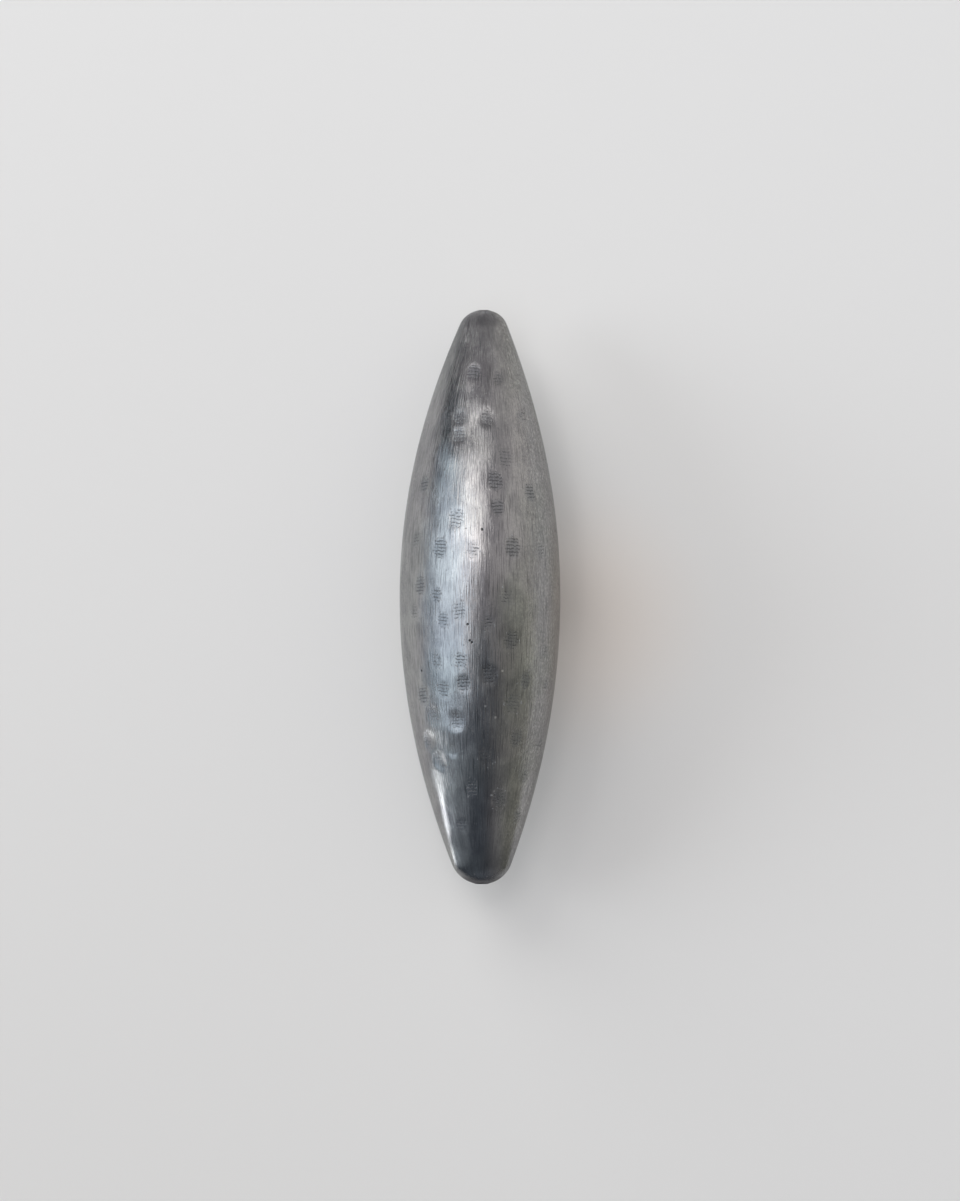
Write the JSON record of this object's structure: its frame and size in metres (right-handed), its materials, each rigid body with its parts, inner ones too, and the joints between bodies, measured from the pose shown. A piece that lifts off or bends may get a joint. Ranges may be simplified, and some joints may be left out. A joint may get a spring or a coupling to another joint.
{
  "type": "cabinet knob",
  "caption": "Spindle-shaped hammered cast cabinet knob on a short turned brass stem, fixed from behind through the door with a pan-head screw.",
  "frame": {"origin": "middle of the stem's foot, on the face of the door that the knob is fixed to", "axes": "+Z along the spindle towards its narrower upper end, -Y out of the door towards the person who uses it, +X to that person's right, +Y through the door along the fixing screw"},
  "size_m": [0.028, 0.0445, 0.1],
  "materials": {
    "hammered_iron": "hammered, brushed lengthwise and waxed, semi-gloss",
    "turned_brass": "turned, satin",
    "zinc_plated_steel": "bright zinc plating"
  },
  "bodies": {
    "root": {"knob_body": "hammered_iron", "stem": "turned_brass", "fixing_screw": "zinc_plated_steel"}
  },
  "joints": []
}
